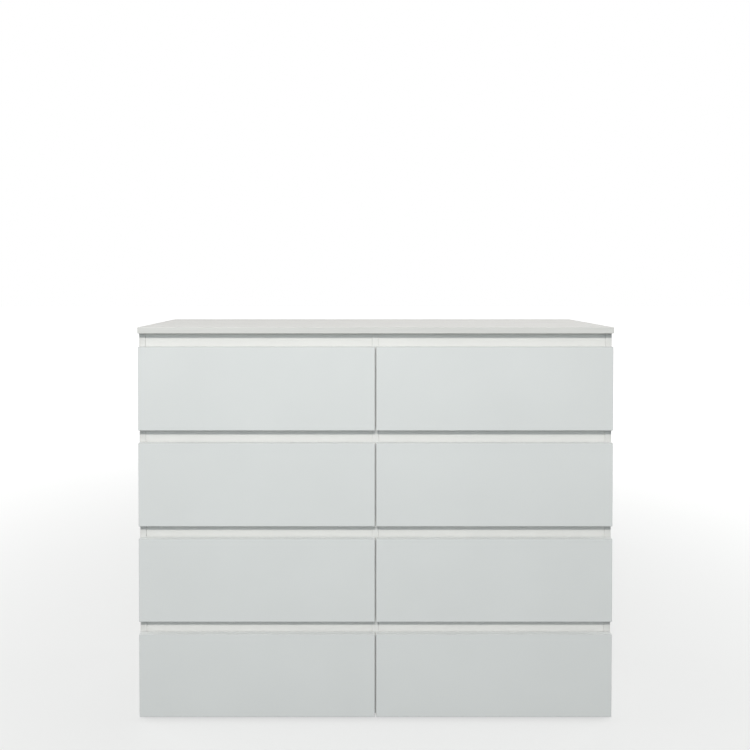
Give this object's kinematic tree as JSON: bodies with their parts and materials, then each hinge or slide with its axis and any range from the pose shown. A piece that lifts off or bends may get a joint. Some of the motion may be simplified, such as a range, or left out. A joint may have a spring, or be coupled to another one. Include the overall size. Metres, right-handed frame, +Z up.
{
  "type": "chest of drawers",
  "caption": "Wide low-depth chest of drawers in two columns, with plain handleless fronts, open finger gaps between them and drawers on roller runners.",
  "frame": {"origin": "centre of the footprint, on the floor under the glides", "axes": "+X to the right as seen from the front, along the width; +Y towards the rear, so the drawers open along -Y; +Z up"},
  "size_m": [1.2, 0.4, 1],
  "materials": {
    "front_board": "matt white coated particleboard, very fine even texture, edge banded",
    "top_board": "matt white coated particleboard with a faint straight wood grain running along its length",
    "coated_board": "matt white coated particleboard, edge banded",
    "drawer_board": "white foil wrapped fibreboard, smooth",
    "hardboard": "thin fibreboard, white lacquered on the inner face, bare brown on the other",
    "runner_steel": "white powder coated rolled steel",
    "nylon": "moulded natural nylon",
    "zinc_plate": "bright zinc plated pressed steel",
    "zinc_casting": "grey zinc die casting",
    "beech": "bare beech with pressed flutes",
    "glide_plastic": "moulded black polyethylene"
  },
  "bodies": {
    "carcass": {"top_panel": "top_board", "side_panel_left": "coated_board", "side_panel_right": "coated_board", "centre_divider": "coated_board", "bottom_panel": "coated_board", "front_rails": "coated_board", "back_panels": "hardboard", "dowels": "beech", "cam_fittings": "zinc_casting", "wall_brackets": "zinc_plate", "floor_glides": "glide_plastic", "cabinet_runners": "runner_steel"},
    "drawer_1_left": {"drawer_1_left_front": "front_board", "drawer_1_left_box": "drawer_board", "drawer_1_left_bottom": "hardboard", "drawer_1_left_runners": "runner_steel"},
    "drawer_1_left_rear_roller_pair": {"drawer_1_left_rear_rollers": "nylon"},
    "drawer_1_left_front_roller_pair": {"drawer_1_left_front_rollers": "nylon"},
    "drawer_1_right": {"drawer_1_right_front": "front_board", "drawer_1_right_box": "drawer_board", "drawer_1_right_bottom": "hardboard", "drawer_1_right_runners": "runner_steel"},
    "drawer_1_right_rear_roller_pair": {"drawer_1_right_rear_rollers": "nylon"},
    "drawer_1_right_front_roller_pair": {"drawer_1_right_front_rollers": "nylon"},
    "drawer_2_left": {"drawer_2_left_front": "front_board", "drawer_2_left_box": "drawer_board", "drawer_2_left_bottom": "hardboard", "drawer_2_left_runners": "runner_steel"},
    "drawer_2_left_rear_roller_pair": {"drawer_2_left_rear_rollers": "nylon"},
    "drawer_2_left_front_roller_pair": {"drawer_2_left_front_rollers": "nylon"},
    "drawer_2_right": {"drawer_2_right_front": "front_board", "drawer_2_right_box": "drawer_board", "drawer_2_right_bottom": "hardboard", "drawer_2_right_runners": "runner_steel"},
    "drawer_2_right_rear_roller_pair": {"drawer_2_right_rear_rollers": "nylon"},
    "drawer_2_right_front_roller_pair": {"drawer_2_right_front_rollers": "nylon"},
    "drawer_3_left": {"drawer_3_left_front": "front_board", "drawer_3_left_box": "drawer_board", "drawer_3_left_bottom": "hardboard", "drawer_3_left_runners": "runner_steel"},
    "drawer_3_left_rear_roller_pair": {"drawer_3_left_rear_rollers": "nylon"},
    "drawer_3_left_front_roller_pair": {"drawer_3_left_front_rollers": "nylon"},
    "drawer_3_right": {"drawer_3_right_front": "front_board", "drawer_3_right_box": "drawer_board", "drawer_3_right_bottom": "hardboard", "drawer_3_right_runners": "runner_steel"},
    "drawer_3_right_rear_roller_pair": {"drawer_3_right_rear_rollers": "nylon"},
    "drawer_3_right_front_roller_pair": {"drawer_3_right_front_rollers": "nylon"},
    "drawer_4_left": {"drawer_4_left_front": "front_board", "drawer_4_left_box": "drawer_board", "drawer_4_left_bottom": "hardboard", "drawer_4_left_runners": "runner_steel"},
    "drawer_4_left_rear_roller_pair": {"drawer_4_left_rear_rollers": "nylon"},
    "drawer_4_left_front_roller_pair": {"drawer_4_left_front_rollers": "nylon"},
    "drawer_4_right": {"drawer_4_right_front": "front_board", "drawer_4_right_box": "drawer_board", "drawer_4_right_bottom": "hardboard", "drawer_4_right_runners": "runner_steel"},
    "drawer_4_right_rear_roller_pair": {"drawer_4_right_rear_rollers": "nylon"},
    "drawer_4_right_front_roller_pair": {"drawer_4_right_front_rollers": "nylon"}
  },
  "joints": [
    {"name": "drawer_1_left_slide", "type": "slide", "parent": "carcass", "child": "drawer_1_left", "axis": [0, -1, 0], "range_m": [0, 0.26]},
    {"name": "drawer_1_left_rear_roller_spin", "type": "hinge", "parent": "drawer_1_left", "child": "drawer_1_left_rear_roller_pair", "pos_m": [-0.296, 0.152, 0.7826], "axis": [1, 0, 0], "continuous": true},
    {"name": "drawer_1_left_front_roller_spin", "type": "hinge", "parent": "carcass", "child": "drawer_1_left_front_roller_pair", "pos_m": [-0.296, -0.166, 0.7826], "axis": [1, 0, 0], "continuous": true},
    {"name": "drawer_1_right_slide", "type": "slide", "parent": "carcass", "child": "drawer_1_right", "axis": [0, -1, 0], "range_m": [0, 0.26]},
    {"name": "drawer_1_right_rear_roller_spin", "type": "hinge", "parent": "drawer_1_right", "child": "drawer_1_right_rear_roller_pair", "pos_m": [0.296, 0.152, 0.7826], "axis": [1, 0, 0], "continuous": true},
    {"name": "drawer_1_right_front_roller_spin", "type": "hinge", "parent": "carcass", "child": "drawer_1_right_front_roller_pair", "pos_m": [0.296, -0.166, 0.7826], "axis": [1, 0, 0], "continuous": true},
    {"name": "drawer_2_left_slide", "type": "slide", "parent": "carcass", "child": "drawer_2_left", "axis": [0, -1, 0], "range_m": [0, 0.26]},
    {"name": "drawer_2_left_rear_roller_spin", "type": "hinge", "parent": "drawer_2_left", "child": "drawer_2_left_rear_roller_pair", "pos_m": [-0.296, 0.152, 0.5396], "axis": [1, 0, 0], "continuous": true},
    {"name": "drawer_2_left_front_roller_spin", "type": "hinge", "parent": "carcass", "child": "drawer_2_left_front_roller_pair", "pos_m": [-0.296, -0.166, 0.5396], "axis": [1, 0, 0], "continuous": true},
    {"name": "drawer_2_right_slide", "type": "slide", "parent": "carcass", "child": "drawer_2_right", "axis": [0, -1, 0], "range_m": [0, 0.26]},
    {"name": "drawer_2_right_rear_roller_spin", "type": "hinge", "parent": "drawer_2_right", "child": "drawer_2_right_rear_roller_pair", "pos_m": [0.296, 0.152, 0.5396], "axis": [1, 0, 0], "continuous": true},
    {"name": "drawer_2_right_front_roller_spin", "type": "hinge", "parent": "carcass", "child": "drawer_2_right_front_roller_pair", "pos_m": [0.296, -0.166, 0.5396], "axis": [1, 0, 0], "continuous": true},
    {"name": "drawer_3_left_slide", "type": "slide", "parent": "carcass", "child": "drawer_3_left", "axis": [0, -1, 0], "range_m": [0, 0.26]},
    {"name": "drawer_3_left_rear_roller_spin", "type": "hinge", "parent": "drawer_3_left", "child": "drawer_3_left_rear_roller_pair", "pos_m": [-0.296, 0.152, 0.2966], "axis": [1, 0, 0], "continuous": true},
    {"name": "drawer_3_left_front_roller_spin", "type": "hinge", "parent": "carcass", "child": "drawer_3_left_front_roller_pair", "pos_m": [-0.296, -0.166, 0.2966], "axis": [1, 0, 0], "continuous": true},
    {"name": "drawer_3_right_slide", "type": "slide", "parent": "carcass", "child": "drawer_3_right", "axis": [0, -1, 0], "range_m": [0, 0.26]},
    {"name": "drawer_3_right_rear_roller_spin", "type": "hinge", "parent": "drawer_3_right", "child": "drawer_3_right_rear_roller_pair", "pos_m": [0.296, 0.152, 0.2966], "axis": [1, 0, 0], "continuous": true},
    {"name": "drawer_3_right_front_roller_spin", "type": "hinge", "parent": "carcass", "child": "drawer_3_right_front_roller_pair", "pos_m": [0.296, -0.166, 0.2966], "axis": [1, 0, 0], "continuous": true},
    {"name": "drawer_4_left_slide", "type": "slide", "parent": "carcass", "child": "drawer_4_left", "axis": [0, -1, 0], "range_m": [0, 0.26]},
    {"name": "drawer_4_left_rear_roller_spin", "type": "hinge", "parent": "drawer_4_left", "child": "drawer_4_left_rear_roller_pair", "pos_m": [-0.296, 0.152, 0.0536], "axis": [1, 0, 0], "continuous": true},
    {"name": "drawer_4_left_front_roller_spin", "type": "hinge", "parent": "carcass", "child": "drawer_4_left_front_roller_pair", "pos_m": [-0.296, -0.166, 0.0536], "axis": [1, 0, 0], "continuous": true},
    {"name": "drawer_4_right_slide", "type": "slide", "parent": "carcass", "child": "drawer_4_right", "axis": [0, -1, 0], "range_m": [0, 0.26]},
    {"name": "drawer_4_right_rear_roller_spin", "type": "hinge", "parent": "drawer_4_right", "child": "drawer_4_right_rear_roller_pair", "pos_m": [0.296, 0.152, 0.0536], "axis": [1, 0, 0], "continuous": true},
    {"name": "drawer_4_right_front_roller_spin", "type": "hinge", "parent": "carcass", "child": "drawer_4_right_front_roller_pair", "pos_m": [0.296, -0.166, 0.0536], "axis": [1, 0, 0], "continuous": true}
  ],
  "couplings": [
    {"joint": "drawer_1_left_rear_roller_spin", "follows": "drawer_1_left_slide", "rad_per_m": 95.238},
    {"joint": "drawer_1_left_front_roller_spin", "follows": "drawer_1_left_slide", "rad_per_m": 95.238},
    {"joint": "drawer_1_right_rear_roller_spin", "follows": "drawer_1_right_slide", "rad_per_m": 95.238},
    {"joint": "drawer_1_right_front_roller_spin", "follows": "drawer_1_right_slide", "rad_per_m": 95.238},
    {"joint": "drawer_2_left_rear_roller_spin", "follows": "drawer_2_left_slide", "rad_per_m": 95.238},
    {"joint": "drawer_2_left_front_roller_spin", "follows": "drawer_2_left_slide", "rad_per_m": 95.238},
    {"joint": "drawer_2_right_rear_roller_spin", "follows": "drawer_2_right_slide", "rad_per_m": 95.238},
    {"joint": "drawer_2_right_front_roller_spin", "follows": "drawer_2_right_slide", "rad_per_m": 95.238},
    {"joint": "drawer_3_left_rear_roller_spin", "follows": "drawer_3_left_slide", "rad_per_m": 95.238},
    {"joint": "drawer_3_left_front_roller_spin", "follows": "drawer_3_left_slide", "rad_per_m": 95.238},
    {"joint": "drawer_3_right_rear_roller_spin", "follows": "drawer_3_right_slide", "rad_per_m": 95.238},
    {"joint": "drawer_3_right_front_roller_spin", "follows": "drawer_3_right_slide", "rad_per_m": 95.238},
    {"joint": "drawer_4_left_rear_roller_spin", "follows": "drawer_4_left_slide", "rad_per_m": 95.238},
    {"joint": "drawer_4_left_front_roller_spin", "follows": "drawer_4_left_slide", "rad_per_m": 95.238},
    {"joint": "drawer_4_right_rear_roller_spin", "follows": "drawer_4_right_slide", "rad_per_m": 95.238},
    {"joint": "drawer_4_right_front_roller_spin", "follows": "drawer_4_right_slide", "rad_per_m": 95.238}
  ]
}
